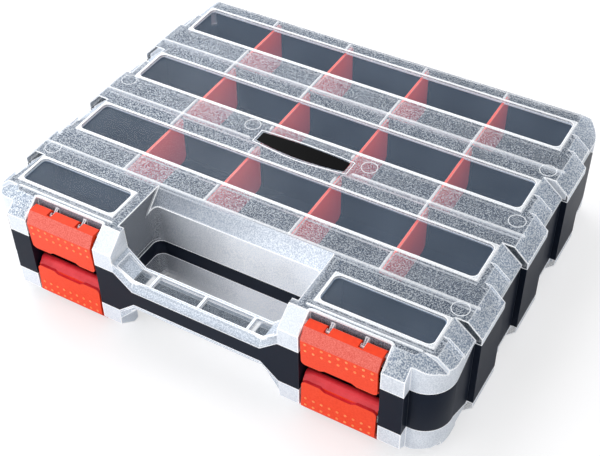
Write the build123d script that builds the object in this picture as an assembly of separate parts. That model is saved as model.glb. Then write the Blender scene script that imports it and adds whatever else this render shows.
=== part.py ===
from build123d import *
from math import cos, radians, sin
import os

# Double-sided sorting box, in millimetres. X runs along the latch side, Y towards the hinges, Z up.
# The pieces are drawn about the mid plane of the tray and lifted by half the height at the end.

# The whole box
box_length = 320.0        # over the pads on the long sides
box_height = 80.0         # over the window rims of both lids
front_reach = 132.5       # centre line to the face of the latch pillars
rear_reach = 127.0        # centre line to the rear wall
side_recess = 4.0         # the side wall stands back from the pads by this
corner_recess = 7.0       # the front corners stand back from the pillars by this
corner_radius = 18.0

# Walls
tray_skin = 2.5
tray_wall = 2.0           # walls of the compartments
tray_floor = 3.0
lid_skin = 2.0
lid_play = 0.6            # between the tray's inner walls and a closed lid
swing_play = 1.0          # more of it before the pads, which swing back as the lid opens
pane_play = 0.5           # between a divider and the pane above it

# Height of the parting line over the mid plane
parting_corner = 16.3
parting_side = 25.3
parting_bar = 5.5
rise_start = 106.0        # the parting line climbs between these two, behind each front corner
rise_end = 88.0
fall_inset = 24.0         # it falls again from here to fall_end_inset, both from the rear wall
fall_end_inset = 12.0

# Rows of compartments
first_row_wall = -72.5
row_pitch = 66.0
row_count = 3
row_end_inset = 10.0      # the rows end this far inside the pads
rear_wall_gap = 3.5       # between the rear wall and the back of the last row
front_bin_start = 65.0    # centre line to the small front compartment
front_bin_depth = 19.0    # from the pillar faces back to that compartment
front_bin_corner = 6.0

# Dividers
divider_pitch = 60.0
dividers_in_row = 4
divider_thickness = 2.0
divider_corner = 3.5
divider_play = 0.2
slot_play = 0.15
slot_rib = 1.2
slot_depth = 1.4
slot_top_gap = 6.0        # the ribs end this far under the top of the divider

# Pads on the long sides
pad_first = -69.1         # middle of the pads nearest the latches
pad_pitch = 67.0
pad_count = 3
pad_half = 16.2

# Handle and finger hole
handle_half = 57.0        # centre line to the inner pillars
handle_depth = 16.5       # front to back of the handle
bar_half = 45.0           # straight part of the handle
hole_half = 58.0
hole_rear = 86.0
hole_corner = 6.0
ring_half = 64.0
ring_rear = 75.0
well_flare = 4.0          # the well is wider by this at the top
shelf_rear = 74.0
shelf_front = 84.3
shelf_drop = 7.4
grip_height = 9.0         # clear part of the handle over the black bar
trough_depth = 2.5
trough_end = 2.5          # the trough ends this far inside the pillars
trough_rib = 1.6
trough_rib_pitch = 34.0
trough_rib_low = 0.5      # the ribs end this far under the rim of the trough
grip_end_rise = 9.5       # the clear part climbs by this to the pillars

# Lid roof
rim_rise = 0.6            # window rims over the plateau
window_step = 2.0         # window rim to pane
pane_thickness = 2.0
window_rim = 1.5
window_corner = 4.0
window_inset = 19.3       # ends of the windows inside the pads
window_depth = 29.7
window_shift = 19.9       # row wall to the near edge of the window
front_window_inner = 70.8
front_window_inset = 22.2  # pillar faces to the near edge of the small windows
front_window_rear = 88.0
roof_rib = 2.4
rib_inset = 8.0           # ends of the roof ribs inside the pads
pad_slope = 45.0
pad_slope_inset = 9.4     # the plateau ends this far inside the pads, over a pad
recess_slope = 40.5
recess_slope_inset = 17.5  # the same beside the windows
step_slope_inset = 13.5   # the same on the step behind each pad
step_length = 16.6
corner_step = (16.5, 32.0)  # the step of the front corners, behind the pillar faces
rear_slope = 45.0
rear_slope_inset = 7.0
front_slope = 38.7
front_slope_inset = 12.5
corner_slope = 31.0
corner_slope_x = 18.2     # inside the pads
corner_slope_y = 19.5     # behind the pillar faces

# Latches; depths are behind the pillar faces and drops are under the window rims
latch_middle = 96.2       # centre line to the middle of a latch
latch_width = 48.0
pocket_play = 1.5
pocket_depth = 14.0
pillar_outer = 136.0
rod_depth = 9.2
rod_drop = 6.8
rod_radius = 1.4
clip_play = 0.08
clip_wall = 1.4
clip_mouth = 2.2
clip_sides = 8
latch_skin = 2.0
latch_ridge_out = 0.8     # the ridge of the latch stands this far before the pillars
latch_ridge_drop = 9.0
latch_end_out = -0.3      # the lower end of its face stands behind them
latch_end_z = 6.6
latch_corner = 3.0
bead_radius = 2.8
bead_depth = 7.3
bead_z = 5.0
web_top = 11.5            # where the hook leaves the plate
web_bottom = 8.5
thumb_notch = 3.0
thumb_notch_low = 0.25
thumb_notch_high = 0.73
carrier_places = (0.24, 0.66)
carrier_width = 2.0
carrier_top = 3.6         # a carrier rises this far over the middle of the rod
carrier_slot = 5.0
carrier_slot_reach = 1.8  # the slots run this far past the clip, so the open latch clears the carriers
catch_play = 0.3          # between the bead and the catch rib
catch_low = 7.3
catch_thickness = 2.2
catch_width = 44.0

# Hinges
hinge_inset = 65.0        # middle of a lid knuckle inside the pads
hinge_gap = 0.3
knuckle_radius = 2.9
pin_radius = 1.25
pin_play = 0.06
lid_knuckle = 22.0
tray_knuckle = 12.0
knuckle_gap = 0.4

# Badge plate, bare
badge_half = 32.0
badge_end = 8.6
badge_bow_rear = 1.6
badge_bow_front = 3.4
badge_y = -2.7
badge_thickness = 0.5

# Worked out
half_height = box_height / 2
half_length = box_length / 2
side_wall = half_length - side_recess
front_wall = front_reach - corner_recess
plateau = half_height - rim_rise
pane_top = half_height - window_step
pane_bottom = pane_top - pane_thickness
wall_top = pane_bottom - pane_play
floor_top = tray_floor / 2
row_room_x = half_length - row_end_inset
rear_row_wall = rear_reach - rear_wall_gap - tray_wall / 2
row_walls = [first_row_wall + row_pitch * i for i in range(row_count)]
row_lines = row_walls + [rear_row_wall]
pad_places = [pad_first + pad_pitch * i for i in range(pad_count)]
hinge_places = (hinge_inset - half_length, half_length - hinge_inset)
divider_xs = [divider_pitch * (i - (dividers_in_row - 1) / 2) for i in range(dividers_in_row)]
hole_front = front_reach - handle_depth
window_half = half_length - window_inset
pocket_rear = front_reach - pocket_depth
pocket_inner = latch_middle - latch_width / 2 - pocket_play
pocket_outer = latch_middle + latch_width / 2 + pocket_play
rod_y = rod_depth - front_reach
rod_z = half_height - rod_drop
bead_y = bead_depth - front_reach
clip = rod_radius + clip_play + clip_wall
latch_left = latch_middle - latch_width / 2
latch_right = latch_middle + latch_width / 2
hinge_y = rear_reach + hinge_gap + knuckle_radius
trough_half = handle_half - trough_end
diagonal = sin(radians(45))
far = half_length + front_reach   # longer than any side of the box


def prism(points, plane, depth):
    # closed outline on a plane, drawn out by depth on both sides of it
    face = make_face(Polyline(*points, close=True))
    return extrude(plane * face, amount=depth, both=True)


def block(x0, x1, y0, y1, z0, z1):
    size = Box(abs(x1 - x0), abs(y1 - y0), abs(z1 - z0))
    return Pos((x0 + x1) / 2, (y0 + y1) / 2, (z0 + z1) / 2) * size


def plate(x0, x1, y0, y1, radius, z0, z1):
    sketch = Pos((x0 + x1) / 2, (y0 + y1) / 2) * RectangleRounded(abs(x1 - x0), abs(y1 - y0), radius)
    return Pos(0, 0, z0) * extrude(sketch, amount=z1 - z0)


def both_sides(shape):
    return shape + mirror(shape, about=Plane.YZ)


def plan(inset):
    # outline of the box from above without its pads: walls and pillars, less the latch pockets
    depth = rear_reach + front_wall - 2 * inset
    middle = (rear_reach - front_wall) / 2
    shape = Pos(0, middle) * RectangleRounded(2 * (side_wall - inset), depth, corner_radius - inset)
    front = Rectangle(2 * (pillar_outer - inset), front_reach - inset, align=(Align.CENTER, Align.MAX))
    shape += front
    pocket = Rectangle(pocket_outer - pocket_inner + 2 * inset, front_reach, align=(Align.CENTER, Align.MAX))
    for side in (-1, 1):
        shape -= Pos(side * latch_middle, inset - pocket_rear) * pocket
    return shape


def padded_plan(inset):
    shape = plan(inset)
    for y in pad_places:
        shape += Pos(0, y) * Rectangle(2 * (half_length - inset), 2 * (pad_half - inset))
    return shape


def slope(x, y, toward_x, toward_y, angle, inset):
    # plane of a sloped roof side that starts at the edge of the plateau
    lean = Vector(toward_x * sin(radians(angle)), toward_y * sin(radians(angle)), cos(radians(angle)))
    start = Vector(x, y, plateau) - lean * inset
    return Plane(origin=start, z_dir=lean)


def side_slopes(solid, edge_inset, angle, inset):
    # both long sides of a roof piece, sloped from its plateau's edge
    for s in (-1, 1):
        plane = slope(s * (half_length - edge_inset), 0, s, 0, angle, inset)
        solid = split(solid, bisect_by=plane, keep=Keep.BOTTOM)
    return solid


def roof(inset):
    # a lid from the mid plane up without pads and steps
    solid = extrude(plan(inset), amount=plateau - inset)
    corner_x = half_length - corner_slope_x
    corner_y = corner_slope_y - front_reach
    sides = [slope(0, rear_reach - rear_slope_inset, 0, 1, rear_slope, inset)]
    sides.append(slope(0, front_slope_inset - front_reach, 0, -1, front_slope, inset))
    for s in (-1, 1):
        sides.append(slope(s * corner_x, corner_y, s * diagonal, -diagonal, corner_slope, inset))
    for plane in sides:
        solid = split(solid, bisect_by=plane, keep=Keep.BOTTOM)
    return side_slopes(solid, recess_slope_inset, recess_slope, inset)


def lid_block(inset):
    # outside of a lid from the mid plane up, or its hollow when inset by the wall
    top = plateau - inset
    solid = roof(inset)
    step_ends = [(corner_step[0] - front_reach + inset, corner_step[1] - front_reach - inset)]
    step_ends += [(y, y + pad_half + step_length - inset) for y in pad_places]
    for ends in step_ends:
        step = block(inset - side_wall, side_wall - inset, *ends, 0, top) & extrude(plan(inset), amount=top)
        solid += side_slopes(step, step_slope_inset, recess_slope, inset)
    for y in pad_places:
        reach = half_length - inset
        pad = block(-reach, reach, y - pad_half + inset, y + pad_half - inset, 0, top)
        solid += side_slopes(pad, pad_slope_inset, pad_slope, inset)
    return solid


def tray_space():
    # what lies under the parting surface of the upper lid
    fall_start = rear_reach - fall_inset
    fall_end = rear_reach - fall_end_inset
    outline = [(-far, -half_height), (-far, parting_corner), (-rise_start, parting_corner)]
    outline += [(-rise_end, parting_side), (fall_start, parting_side), (fall_end, parting_corner)]
    outline += [(far, parting_corner), (far, -half_height)]
    space = prism(outline, Plane.YZ, far)
    relief = [(-bar_half, parting_bar), (-handle_half, parting_corner), (-handle_half, half_height)]
    relief += [(handle_half, half_height), (handle_half, parting_corner), (bar_half, parting_bar)]
    middle = Plane(origin=(0, -(far + hole_front) / 2, 0), z_dir=(0, -1, 0), x_dir=(1, 0, 0))
    space -= prism(relief, middle, (far - hole_front) / 2)
    space -= block(-ring_half, ring_half, -hole_front, -ring_rear, parting_bar, half_height)
    return space


def well(grow, grip_grow):
    # finger well of the upper lid and the space over the handle; grown, it gives the skin round them
    top = half_height + lid_skin
    side = [(-hole_rear, parting_bar), (-shelf_front, plateau - shelf_drop), (-shelf_rear, plateau)]
    side += [(-shelf_rear, top), (-hole_front, top), (-hole_front, parting_bar)]
    across = [(-hole_half, parting_bar), (-hole_half - well_flare, top)]
    across += [(hole_half + well_flare, top), (hole_half, parting_bar)]
    grip_top = parting_bar + grip_height
    over = [(-bar_half, grip_top), (-handle_half, grip_top + grip_end_rise), (-handle_half - 1, top)]
    over += [(handle_half + 1, top), (handle_half, grip_top + grip_end_rise), (bar_half, grip_top)]
    outlines = []
    for points, amount in ((side, grow), (across, grow), (over, grip_grow)):
        face = make_face(Polyline(*points, close=True))
        if amount:
            face = offset(face, amount=amount, kind=Kind.INTERSECTION)
        outlines.append(face)
    length = extrude(Plane.YZ * outlines[0], amount=far, both=True)
    width = extrude(Plane.XZ * outlines[1], amount=far, both=True)
    hollow = length & width
    upright = hollow.edges().filter_by(lambda edge: abs(edge.tangent_at(0).Z) > diagonal).sort_by(Axis.Y)
    hollow = fillet(upright[2:4], hole_corner + grow)
    return hollow + extrude(Plane.XZ.offset(hole_front) * outlines[2], amount=front_reach)


def window_frames():
    # the rim and pane of every window, and the recess over it
    spans = []
    for wall in row_walls:
        spans.append((-window_half, window_half, wall + window_shift, wall + window_shift + window_depth))
    for side in (-1, 1):
        inner, outer = sorted((side * front_window_inner, side * window_half))
        spans.append((inner, outer, front_window_inset - front_reach, -front_window_rear))
    frames = []
    recesses = []
    for x0, x1, y0, y1 in spans:
        corner = min(window_corner, (y1 - y0) / 3)
        r = window_rim
        frames.append(block(x0 - r, x1 + r, y0 - r, y1 + r, pane_bottom, half_height))
        recesses.append(plate(x0, x1, y0, y1, corner, pane_top, half_height + 1))
    return frames, recesses


def latch_rods():
    # moulded rod of each latch with its carriers, on the pocket's back wall
    solids = []
    start = pocket_inner - lid_skin / 2
    reach = pocket_outer - pocket_inner + lid_skin
    rod = Pos(start + reach / 2, rod_y, rod_z) * Rot(0, 90, 0) * Cylinder(rod_radius, reach)
    solids.append(rod)
    for place in carrier_places:
        x = latch_left + place * latch_width
        low = rod_z - rod_radius
        ends = (x - carrier_width / 2, x + carrier_width / 2)
        solids.append(block(*ends, rod_y - rod_radius / 2, -pocket_rear + lid_skin / 2, low, rod_z + carrier_top))
    return solids


def hinge_knuckle(length, arm_low, arm_high):
    # barrel on the hinge line with the arm that joins it to a wall
    barrel = Pos(0, hinge_y, parting_corner) * Rot(0, 90, 0) * Cylinder(knuckle_radius, length)
    arm = block(-length / 2, length / 2, rear_reach - tray_skin / 2, hinge_y, arm_low, arm_high)
    return barrel + arm


def hinge_axis_cylinder(radius, x0, x1):
    length = abs(x1 - x0)
    return Pos((x0 + x1) / 2, hinge_y, parting_corner) * Rot(0, 90, 0) * Cylinder(radius, length)


def outward(x):
    # direction from the lid's knuckle to the tray's knuckle beside it
    return 1 if x > 0 else -1


def tray_knuckle_ends(x):
    start = x + outward(x) * (lid_knuckle / 2 + knuckle_gap)
    return start, start + outward(x) * tray_knuckle


def make_lid():
    # upper lid; the lower one is its mirror image
    outside = lid_block(0)
    lid = outside - lid_block(lid_skin)
    lid += well(lid_skin, lid_skin + trough_depth) & outside
    rib_reach = half_length - rib_inset
    for y in row_walls:
        rib = block(-rib_reach, rib_reach, y - roof_rib / 2, y + roof_rib / 2, pane_bottom, plateau)
        lid += rib & outside
    for x in divider_xs:
        ends = (first_row_wall, rear_reach - rear_slope_inset)
        lid += block(x - roof_rib / 2, x + roof_rib / 2, *ends, pane_bottom, plateau)
    frames, recesses = window_frames()
    for frame in frames:
        lid += frame
    for recess in recesses:
        lid -= recess
    lid -= well(0, 0)
    lid -= grip_trough()
    lid -= tray_space()
    for solid in latch_rods():
        lid += both_sides(solid)
    for x in hinge_places:
        lid += Pos(x, 0, 0) * hinge_knuckle(lid_knuckle, parting_corner, parting_corner + knuckle_radius)
        ends = (x - lid_knuckle / 2 - knuckle_gap, x + lid_knuckle / 2 + knuckle_gap)
        lid -= hinge_axis_cylinder(pin_radius + pin_play, *ends)
    return lid


def grip_trough():
    # groove along the clear part of the handle, less the ribs across it
    y0 = lid_skin - front_reach
    y1 = -hole_front - lid_skin
    top = parting_bar + grip_height
    cut = block(-trough_half, trough_half, y0, y1, 0, half_height) & well(0, trough_depth)
    for x in (-trough_rib_pitch, 0, trough_rib_pitch):
        rib = (x - trough_rib / 2, x + trough_rib / 2)
        cut -= block(*rib, y0, y1, 0, top - trough_rib_low)
    return cut


def compartment_walls():
    # walls of the rows and of the two small compartments beside the handle, upper side
    outer = row_room_x + tray_wall
    rear = rear_row_wall + tray_wall / 2
    front = first_row_wall - tray_wall / 2
    walls = block(-outer, outer, front, rear, 0, wall_top)
    lines = zip(row_lines[:-1], row_lines[1:])
    for y0, y1 in lines:
        walls -= block(-row_room_x, row_room_x, y0 + tray_wall / 2, y1 - tray_wall / 2, 0, wall_top)
    start = front_bin_depth - front_reach
    shell = block(front_bin_start, outer, start, front + tray_wall / 2, 0, wall_top)
    inner_x = front_bin_start + tray_wall
    inner_y = start + tray_wall
    room = plate(inner_x, row_room_x, inner_y, front, front_bin_corner, 0, wall_top)
    room += block(inner_x, row_room_x, inner_y + front_bin_corner, front, 0, wall_top)
    walls += both_sides(shell - room)
    return walls & under_lid


def slot_ribs():
    # pairs of ribs on the row walls that hold the ends of each divider
    top = wall_top - slot_top_gap
    ribs = []
    offset_x = divider_thickness / 2 + slot_play
    for y0, y1 in zip(row_lines[:-1], row_lines[1:]):
        for x in divider_xs:
            for side in (-1, 1):
                inner, outer = sorted((x + side * offset_x, x + side * (offset_x + slot_rib)))
                low = y0 + tray_wall / 2
                high = y1 - tray_wall / 2
                ribs.append(block(inner, outer, low, low + slot_depth, floor_top, top))
                ribs.append(block(inner, outer, high - slot_depth, high, floor_top, top))
    return ribs


def catch_rib():
    # rib on the front wall that the latch bead snaps over
    nose = bead_y + bead_radius + catch_play
    left = latch_middle - catch_width / 2
    root = -pocket_rear + tray_skin / 2
    return block(left, left + catch_width, nose, root, catch_low, catch_low + catch_thickness)


def make_tray():
    space = tray_space()
    space = space & mirror(space, about=Plane.XY)
    skin = extrude(padded_plan(0) - padded_plan(tray_skin), amount=parting_side, both=True)
    tray = skin + extrude(padded_plan(0), amount=floor_top, both=True)
    ring = block(-ring_half, ring_half, -front_reach, -ring_rear, -parting_bar, parting_bar)
    tray += ring
    tray = tray & space
    reach = first_row_wall - tray_wall / 2
    tray += block(-ring_half, ring_half, -ring_rear, reach, -parting_bar, parting_bar)
    upper = compartment_walls()
    for rib in slot_ribs():
        upper += rib
    upper += both_sides(catch_rib())
    for x in hinge_places:
        ends = tray_knuckle_ends(x)
        knuckle = hinge_knuckle(tray_knuckle, parting_corner - knuckle_radius, parting_corner)
        upper += Pos(sum(ends) / 2, 0, 0) * knuckle
    tray += upper + mirror(upper, about=Plane.XY)
    hole = plate(-hole_half, hole_half, -hole_front, -hole_rear, hole_corner, -parting_bar, parting_bar)
    tray -= hole
    for x in hinge_places:
        bore = hinge_axis_cylinder(pin_radius, *tray_knuckle_ends(x))
        tray -= bore
        tray -= mirror(bore, about=Plane.XY)
    return tray


def make_divider(x, row):
    low = row_lines[row] + tray_wall / 2 + divider_play
    high = row_lines[row + 1] - tray_wall / 2 - divider_play
    middle = Plane(origin=(x, (low + high) / 2, (floor_top + wall_top) / 2), z_dir=(1, 0, 0), x_dir=(0, 1, 0))
    sheet = extrude(middle * Rectangle(high - low, wall_top - floor_top), amount=divider_thickness / 2, both=True)
    feet = sheet.edges().filter_by(Axis.X).sort_by(Axis.Z)[:2]
    return chamfer(feet, divider_corner) & under_lid


def latch_profile():
    # section of the latch: clip round the rod, sloped top, face plate and the hook with its bead
    ridge_y = -front_reach - latch_ridge_out
    ridge_z = half_height - latch_ridge_drop
    end_y = -front_reach - latch_end_out
    inner_y = end_y + latch_skin
    turn = 180 / clip_sides
    profile = Pos(rod_y, rod_z) * RegularPolygon(clip, clip_sides, major_radius=False, rotation=turn)
    outline = [(rod_y, rod_z + clip), (ridge_y, ridge_z), (end_y, latch_end_z), (inner_y, latch_end_z)]
    outline += [(ridge_y + latch_skin, ridge_z - latch_skin), (rod_y, rod_z)]
    profile += make_face(Polyline(*outline, close=True))
    side = bead_radius * diagonal
    web_y = inner_y - latch_skin / 2
    web = [(web_y, web_top), (web_y, web_bottom), (bead_y - side, bead_z - side), (bead_y + side, bead_z + side)]
    profile += make_face(Polyline(*web, close=True))
    profile += Pos(bead_y, bead_z) * Circle(bead_radius)
    profile -= Pos(rod_y, rod_z) * Circle(rod_radius + clip_play)
    mouth = Rectangle(clip_mouth, 2 * clip, align=(Align.CENTER, Align.MAX))
    return profile - Pos(rod_y, rod_z) * mouth


def make_latch():
    # latch of the right front pocket on the upper lid
    middle = Plane(origin=(latch_middle, 0, 0), z_dir=(1, 0, 0), x_dir=(0, 1, 0))
    latch = extrude(middle * latch_profile(), amount=latch_width / 2, both=True)
    low = latch_left + thumb_notch_low * latch_width
    high = latch_left + thumb_notch_high * latch_width
    notch = [(low, latch_end_z - 1), (low, latch_end_z), (low + thumb_notch, latch_end_z + thumb_notch)]
    notch += [(high - thumb_notch, latch_end_z + thumb_notch), (high, latch_end_z), (high, latch_end_z - 1)]
    front = Plane(origin=(0, -front_reach - latch_end_out, 0), z_dir=(0, -1, 0), x_dir=(1, 0, 0))
    latch -= prism(notch, front, latch_skin)
    for x, inward in ((latch_left, 1), (latch_right, -1)):
        square = Pos(inward * latch_corner / 2, latch_corner / 2) * Rectangle(latch_corner, latch_corner)
        corner = square - Pos(inward * latch_corner, latch_corner) * Circle(latch_corner)
        latch -= extrude(front * Pos(x, latch_end_z) * corner, amount=latch_skin, both=True)
    reach = clip + carrier_slot_reach
    for place in carrier_places:
        x = latch_left + place * latch_width
        slot = (x - carrier_slot / 2, x + carrier_slot / 2)
        latch -= block(*slot, rod_y - reach, rod_y + reach, rod_z - reach, rod_z + reach)
    return latch


def make_badge():
    rear = badge_y + badge_end / 2
    front = badge_y - badge_end / 2
    top = ThreePointArc((-badge_half, rear), (0, rear + badge_bow_rear), (badge_half, rear))
    bottom = ThreePointArc((badge_half, front), (0, front - badge_bow_front), (-badge_half, front))
    ends = [Line(top @ 1, bottom @ 0), Line(bottom @ 1, top @ 0)]
    face = make_face([top, ends[0], bottom, ends[1]])
    return Pos(0, 0, plateau) * extrude(face, amount=badge_thickness)


def make_pin(x):
    return hinge_axis_cylinder(pin_radius, x - outward(x) * lid_knuckle / 2, tray_knuckle_ends(x)[1])


def save(shape, name):
    solids = shape.solids()
    lifted = Pos(0, 0, half_height) * (solids[0] if len(solids) == 1 else Compound(children=solids))
    export_step(lifted, f"parts/{name}.step")


def below(shape):
    return mirror(shape, about=Plane.XY)


os.makedirs("parts", exist_ok=True)
under_lid = lid_block(lid_skin + lid_play)
under_lid &= Pos(0, swing_play, 0) * under_lid
save(make_tray(), "tray")
lid = make_lid()
save(lid, "top_lid")
save(below(lid), "bottom_lid")
latch = make_latch()
opposite = mirror(latch, about=Plane.YZ)
save(latch, "top_latch_right")
save(opposite, "top_latch_left")
save(below(latch), "bottom_latch_right")
save(below(opposite), "bottom_latch_left")
for row in range(row_count):
    for number, x in enumerate(divider_xs):
        divider = make_divider(x, row)
        save(divider, f"top_divider_{row + 1}{number + 1}")
        save(below(divider), f"bottom_divider_{row + 1}{number + 1}")
save(make_badge(), "badge_plate")
for side, x in zip(("left", "right"), hinge_places):
    save(make_pin(x), f"top_hinge_pin_{side}")
    save(below(make_pin(x)), f"bottom_hinge_pin_{side}")
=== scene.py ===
from math import cos, pi, radians, sin

import bpy
from mathutils import Matrix, Vector


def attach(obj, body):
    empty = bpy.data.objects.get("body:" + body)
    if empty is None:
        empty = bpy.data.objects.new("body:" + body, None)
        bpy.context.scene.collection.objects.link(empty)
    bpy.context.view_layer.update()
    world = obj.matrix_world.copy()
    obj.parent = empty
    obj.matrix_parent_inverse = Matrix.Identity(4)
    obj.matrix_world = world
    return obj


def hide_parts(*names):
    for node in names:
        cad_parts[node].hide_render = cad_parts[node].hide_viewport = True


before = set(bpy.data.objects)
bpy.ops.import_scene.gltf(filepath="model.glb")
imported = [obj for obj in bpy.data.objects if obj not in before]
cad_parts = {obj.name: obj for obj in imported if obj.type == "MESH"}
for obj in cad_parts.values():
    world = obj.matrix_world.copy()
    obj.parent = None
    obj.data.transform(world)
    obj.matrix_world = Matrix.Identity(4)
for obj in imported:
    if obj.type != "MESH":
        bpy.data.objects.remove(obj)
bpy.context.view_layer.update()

bpy.ops.object.select_all(action="DESELECT")
scene = bpy.context.scene
scene.view_settings.view_transform = "Standard"
print("frame loaded:", len(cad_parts), "nodes")


def mm(*values):
    # millimetres to metres
    lengths = tuple(value / 1000 for value in values)
    return lengths if len(lengths) > 1 else lengths[0]


def hexColour(code):
    # sRGB hex to the linear numbers that shaders take
    channels = [int(code[i:i + 2], 16) / 255 for i in (1, 3, 5)]
    return [c / 12.92 if c <= 0.04045 else ((c + 0.055) / 1.055) ** 2.4 for c in channels] + [1]


def selectOnly(piece):
    bpy.ops.object.select_all(action="DESELECT")
    piece.select_set(True)
    bpy.context.view_layer.objects.active = piece


def applyModifier(piece, kind, **settings):
    selectOnly(piece)
    modifier = piece.modifiers.new(kind.lower(), kind)
    for name, value in settings.items():
        setattr(modifier, name, value)
    bpy.ops.object.modifier_apply(modifier=modifier.name)


# Camera

camera = {
    "azimuth": 30.45,            # degrees round the box from its latch side
    "elevation": 43.78,
    "distance": 719.75,          # mm from the target
    "target": (15.34, -35.36, 40),
    "roll": -0.85,
    "lens": 67.6,                # mm
    "sensor": 36,                # mm wide
    "shift": (0.00165, 0.01238),
}


def makeCamera():
    azimuth = radians(camera["azimuth"])
    elevation = radians(camera["elevation"])
    roll = radians(camera["roll"])
    back = Vector((sin(azimuth) * cos(elevation), -cos(azimuth) * cos(elevation), sin(elevation)))
    level = Vector((cos(azimuth), sin(azimuth), 0))
    upright = back.cross(level)
    right = level * cos(roll) + upright * sin(roll)
    up = upright * cos(roll) - level * sin(roll)
    place = Vector(mm(*camera["target"])) + back * mm(camera["distance"])
    bpy.ops.object.camera_add()
    eye = bpy.context.active_object
    eye.name = "studioCamera"
    eye.matrix_world = Matrix.Translation(place) @ Matrix((right, up, back)).transposed().to_4x4()
    eye.data.lens = camera["lens"]
    eye.data.sensor_width = camera["sensor"]
    eye.data.shift_x, eye.data.shift_y = camera["shift"]
    scene.camera = eye


makeCamera()
print("camera placed")


# Materials

def addNode(tree, kind, inputs=(), output=0, **settings):
    # adds one node and returns the output that is read; its inputs are values or sockets to link, by name
    # or in their order
    node = tree.nodes.new(kind)
    for name, value in settings.items():
        setattr(node, name, value)
    for name, value in inputs.items() if isinstance(inputs, dict) else enumerate(inputs):
        if isinstance(value, bpy.types.NodeSocket):
            tree.links.new(value, node.inputs[name])
        else:
            node.inputs[name].default_value = value
    return node.outputs[output] if node.outputs else None


def newMaterial(name, inputs):
    material = bpy.data.materials.new(name)
    material.use_nodes = True
    tree = material.node_tree
    tree.nodes.clear()
    shader = addNode(tree, "ShaderNodeBsdfPrincipled", inputs)
    addNode(tree, "ShaderNodeOutputMaterial", {"Surface": shader})
    coordinates = addNode(tree, "ShaderNodeTexCoord", output="Object")
    return material, tree, shader.node, coordinates


# a Map Range node takes its value, what the value goes from and to, and what comes out of it, in that order
noiseStops = 0.3, 0.7            # between which a noise swings
speckleStops = 0.35, 0.65        # closer ones, for more contrast in the grain
edgeStops = 0.975, 0.999         # cosine of the rounded normal's lean at an edge, and on the flat beside it
# a Mix node of colours has its factor as input 0 and its colours as 6 and 7, and one of numbers 0, 2 and 3
colourMix = {"data_type": "RGBA", "output": 2}


def edgeMask(tree, radius):
    # 1 along the edges of the mesh, fading to 0 one radius away from them
    rounded = addNode(tree, "ShaderNodeBevel", {"Radius": mm(radius)}, samples=6)
    face = addNode(tree, "ShaderNodeNewGeometry", output="Normal")
    lean = addNode(tree, "ShaderNodeVectorMath", (rounded, face), output="Value", operation="DOT_PRODUCT")
    lean = addNode(tree, "ShaderNodeMath", (lean,), operation="ABSOLUTE")
    return addNode(tree, "ShaderNodeMapRange", (lean, *edgeStops, 1, 0))


# clear polypropylene copolymer moulded against a spark-eroded tool: a fine haze that whitens what is
# behind it, whiter where the wall is thick or seen on edge, where a painted highlight and a painted
# glow are added too; the real grain is about 0.2 mm, too fine to show, so it is drawn at 0.8 mm
frostedLooks = {
    # haze and how much the grain changes it, then its two colours and how opaque its edges are; fade is
    # where along the box a painted shadow thins the haze towards the left end of the finger well, and down to
    # what
    "roof": {"haze": 0.32, "swing": 0.12, "light": "#EEF6FF", "dark": "#7F97B8", "edge": 0.85},
    "slope": {"haze": 0.60, "swing": 0.12, "light": "#F2F8FF", "dark": "#98AECB", "edge": 0.97},
    "wall": {"haze": 1.02, "swing": 0.04, "light": "#EAF0F8", "dark": "#DAE2ED", "edge": 1.0},
    "grip": {"haze": 0.70, "swing": 0.08, "light": "#E8F0FB", "dark": "#C4D2E4", "edge": 1.0},
    "shelf": {"haze": 0.90, "swing": 0.06, "light": "#E9EFF8", "dark": "#BCC9DC", "edge": 1.0,
              "fade": (-64, 40, 0.36)},
    "well": {"haze": 0.97, "swing": 0.05, "light": "#FBFCFF", "dark": "#E9EFF8", "edge": 1.0,
             "fade": (-66, 6, 0.22)},
    "trough": {"haze": 0.18, "swing": 0.06, "light": "#DCE8F5", "dark": "#9FB2C8", "edge": 0.5},
    "slit": {"haze": 0.10, "swing": 0.05, "light": "#DCE8F5", "dark": "#B5C5D8", "edge": 1.0},
    "fin": {"haze": 0.06, "swing": 0.03, "light": "#B5C5D8", "dark": "#7F90A6", "edge": 0.3},
    "pocket": {"haze": 0.48, "swing": 0.08, "light": "#D5E0EE", "dark": "#A3B4CA", "edge": 0.9},
    "rim": {"haze": 0.80, "swing": 0.06, "light": "#F4F7FB", "dark": "#E1E8F0", "edge": 0.95},
    "rib": {"haze": 0.52, "swing": 0.06, "light": "#FAFCFF", "dark": "#E8EFF7", "edge": 0.66},
    "inside": {"haze": 0.02, "swing": 0.01, "light": "#E9EDF3", "dark": "#CBD3DD", "edge": 0.3},
}
frostedFinish = {
    "grain": 0.8,                # mm
    "grainDepth": 0.03,          # mm
    "grainStrength": 0.5,
    "patch": 22,                 # mm, slow change in the haze
    "patchSwing": (0.92, 1.08),
    "ends": (-150, 150),         # mm, between which the haze changes along the box
    "paintedLightAtEnds": (1.24, 0.88),      # painted light: the haze is made thicker, so whiter, at the left end, where the light comes from, than at the right end
    "edge": 1.2,                 # mm, width of the bright line each side of an edge, partly a painted highlight
    "thickEdgeAndHighlightColour": "#FCFDFF",
    "paintedEdgeGlow": 0.16,            # painted light: a glow on the edges standing in for the light that the wall pipes to them
    "paintedGlowColour": "#F4F8FF",
    "deepShade": 0.55,           # painted shadow: how far the left end of the finger well darkens to the shadow colour
    "paintedShadowColour": "#5F7086",
    "roughness": 0.42,
}
plasticIor = 1.49                # of polypropylene


def acrossBox(tree, coordinates, left, right, atLeft, atRight):
    # a number that changes along the length of the box, between two places in mm
    x = addNode(tree, "ShaderNodeSeparateXYZ", (coordinates,), output="X")
    return addNode(tree, "ShaderNodeMapRange", (x, mm(left), mm(right), atLeft, atRight))


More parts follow.
